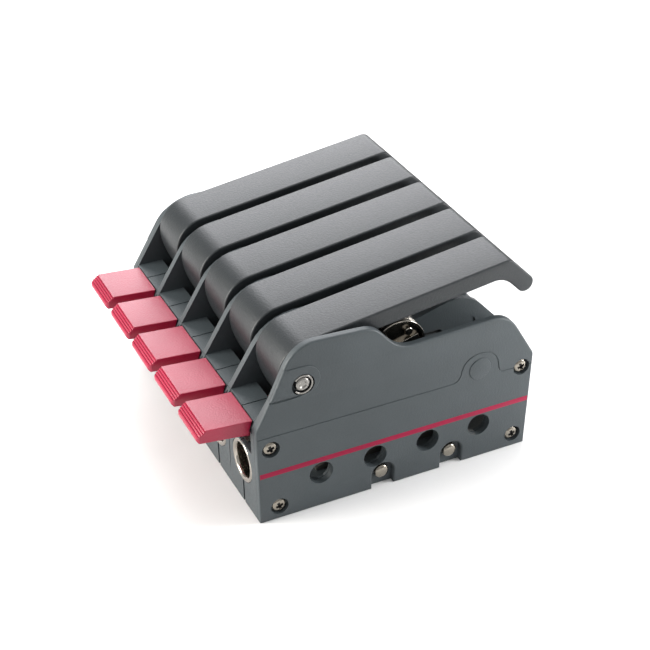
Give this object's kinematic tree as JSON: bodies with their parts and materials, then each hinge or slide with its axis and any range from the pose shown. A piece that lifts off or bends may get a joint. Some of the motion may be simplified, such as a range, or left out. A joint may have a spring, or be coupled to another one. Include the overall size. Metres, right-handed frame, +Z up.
{
  "type": "rope clutch",
  "caption": "Row of lever-operated rope clutches in a moulded casing with hooked levers, press pads and steel rope bushes.",
  "frame": {"origin": "centre of the box at the base plane, on the deck", "axes": "+X across the lanes towards the right-hand side, -Y towards the press pads, +Y along the rope towards the lever lips, +Z up"},
  "size_m": [0.1838, 0.1942, 0.1188],
  "materials": {
    "casing_plastic": "fine-grained glass-filled nylon, mid grey",
    "lever_plastic": "satin charcoal with a fine grain",
    "pad_plastic": "satin red",
    "stainless": "polished stainless steel",
    "jaw_metal": "satin cast steel"
  },
  "bodies": {
    "casing": {"shell_right": "casing_plastic", "shell_1_2": "casing_plastic", "shell_2_3": "casing_plastic", "shell_3_4": "casing_plastic", "shell_4_5": "casing_plastic", "shell_left": "casing_plastic", "side_cover_right": "casing_plastic", "side_cover_left": "casing_plastic", "handle_axle": "stainless", "cam_shaft": "stainless", "axle_ring_right": "stainless", "axle_ring_left": "stainless", "tie_bolt_front": "stainless", "tie_bolt_rear": "stainless", "tie_nut_front": "stainless", "tie_nut_rear": "stainless", "side_screw_right_1": "stainless", "side_screw_right_2": "stainless", "side_screw_right_3": "stainless", "side_screw_right_4": "stainless", "side_screw_left_1": "stainless", "side_screw_left_2": "stainless", "side_screw_left_3": "stainless", "side_screw_left_4": "stainless", "eyelet_front_1": "stainless", "eyelet_rear_1": "stainless", "rope_track_1": "jaw_metal", "pad_spring_1": "stainless", "eyelet_front_2": "stainless", "eyelet_rear_2": "stainless", "rope_track_2": "jaw_metal", "pad_spring_2": "stainless", "eyelet_front_3": "stainless", "eyelet_rear_3": "stainless", "rope_track_3": "jaw_metal", "pad_spring_3": "stainless", "eyelet_front_4": "stainless", "eyelet_rear_4": "stainless", "rope_track_4": "jaw_metal", "pad_spring_4": "stainless", "eyelet_front_5": "stainless", "eyelet_rear_5": "stainless", "rope_track_5": "jaw_metal", "pad_spring_5": "stainless"},
    "lever_1": {"handle_1": "lever_plastic"},
    "clamp_1": {"cam_1": "stainless"},
    "press_pad_1": {"pad_1": "pad_plastic"},
    "lever_2": {"handle_2": "lever_plastic"},
    "clamp_2": {"cam_2": "stainless"},
    "press_pad_2": {"pad_2": "pad_plastic"},
    "lever_3": {"handle_3": "lever_plastic"},
    "clamp_3": {"cam_3": "stainless"},
    "press_pad_3": {"pad_3": "pad_plastic"},
    "lever_4": {"handle_4": "lever_plastic"},
    "clamp_4": {"cam_4": "stainless"},
    "press_pad_4": {"pad_4": "pad_plastic"},
    "lever_5": {"handle_5": "lever_plastic"},
    "clamp_5": {"cam_5": "stainless"},
    "press_pad_5": {"pad_5": "pad_plastic"}
  },
  "joints": [
    {"name": "lever_1_hinge", "type": "hinge", "parent": "casing", "child": "lever_1", "pos_m": [0.07, -0.04175, 0.0821], "axis": [1, 0, 0], "range_deg": [0, 100]},
    {"name": "clamp_1_hinge", "type": "hinge", "parent": "casing", "child": "clamp_1", "pos_m": [0.07, 0.03255, 0.0488], "axis": [1, 0, 0], "range_deg": [0, 40]},
    {"name": "press_pad_1_hinge", "type": "hinge", "parent": "casing", "child": "press_pad_1", "pos_m": [0.07, -0.04695, 0.0493], "axis": [1, 0, 0], "range_deg": [0, 8], "stiffness_Nm_per_rad": 1, "springref_deg": -5.73, "deforming": ["pad_spring_1"]},
    {"name": "lever_2_hinge", "type": "hinge", "parent": "casing", "child": "lever_2", "pos_m": [0.035, -0.04175, 0.0821], "axis": [1, 0, 0], "range_deg": [0, 100]},
    {"name": "clamp_2_hinge", "type": "hinge", "parent": "casing", "child": "clamp_2", "pos_m": [0.035, 0.03255, 0.0488], "axis": [1, 0, 0], "range_deg": [0, 40]},
    {"name": "press_pad_2_hinge", "type": "hinge", "parent": "casing", "child": "press_pad_2", "pos_m": [0.035, -0.04695, 0.0493], "axis": [1, 0, 0], "range_deg": [0, 8], "stiffness_Nm_per_rad": 1, "springref_deg": -5.73, "deforming": ["pad_spring_2"]},
    {"name": "lever_3_hinge", "type": "hinge", "parent": "casing", "child": "lever_3", "pos_m": [0, -0.04175, 0.0821], "axis": [1, 0, 0], "range_deg": [0, 100]},
    {"name": "clamp_3_hinge", "type": "hinge", "parent": "casing", "child": "clamp_3", "pos_m": [0, 0.03255, 0.0488], "axis": [1, 0, 0], "range_deg": [0, 40]},
    {"name": "press_pad_3_hinge", "type": "hinge", "parent": "casing", "child": "press_pad_3", "pos_m": [0, -0.04695, 0.0493], "axis": [1, 0, 0], "range_deg": [0, 8], "stiffness_Nm_per_rad": 1, "springref_deg": -5.73, "deforming": ["pad_spring_3"]},
    {"name": "lever_4_hinge", "type": "hinge", "parent": "casing", "child": "lever_4", "pos_m": [-0.035, -0.04175, 0.0821], "axis": [1, 0, 0], "range_deg": [0, 100]},
    {"name": "clamp_4_hinge", "type": "hinge", "parent": "casing", "child": "clamp_4", "pos_m": [-0.035, 0.03255, 0.0488], "axis": [1, 0, 0], "range_deg": [0, 40]},
    {"name": "press_pad_4_hinge", "type": "hinge", "parent": "casing", "child": "press_pad_4", "pos_m": [-0.035, -0.04695, 0.0493], "axis": [1, 0, 0], "range_deg": [0, 8], "stiffness_Nm_per_rad": 1, "springref_deg": -5.73, "deforming": ["pad_spring_4"]},
    {"name": "lever_5_hinge", "type": "hinge", "parent": "casing", "child": "lever_5", "pos_m": [-0.07, -0.04175, 0.0821], "axis": [1, 0, 0], "range_deg": [0, 100]},
    {"name": "clamp_5_hinge", "type": "hinge", "parent": "casing", "child": "clamp_5", "pos_m": [-0.07, 0.03255, 0.0488], "axis": [1, 0, 0], "range_deg": [0, 40]},
    {"name": "press_pad_5_hinge", "type": "hinge", "parent": "casing", "child": "press_pad_5", "pos_m": [-0.07, -0.04695, 0.0493], "axis": [1, 0, 0], "range_deg": [0, 8], "stiffness_Nm_per_rad": 1, "springref_deg": -5.73, "deforming": ["pad_spring_5"]}
  ],
  "couplings": [
    {"joint": "clamp_1_hinge", "follows": "lever_1_hinge", "ratio": 0.4},
    {"joint": "clamp_2_hinge", "follows": "lever_2_hinge", "ratio": 0.4},
    {"joint": "clamp_3_hinge", "follows": "lever_3_hinge", "ratio": 0.4},
    {"joint": "clamp_4_hinge", "follows": "lever_4_hinge", "ratio": 0.4},
    {"joint": "clamp_5_hinge", "follows": "lever_5_hinge", "ratio": 0.4}
  ]
}
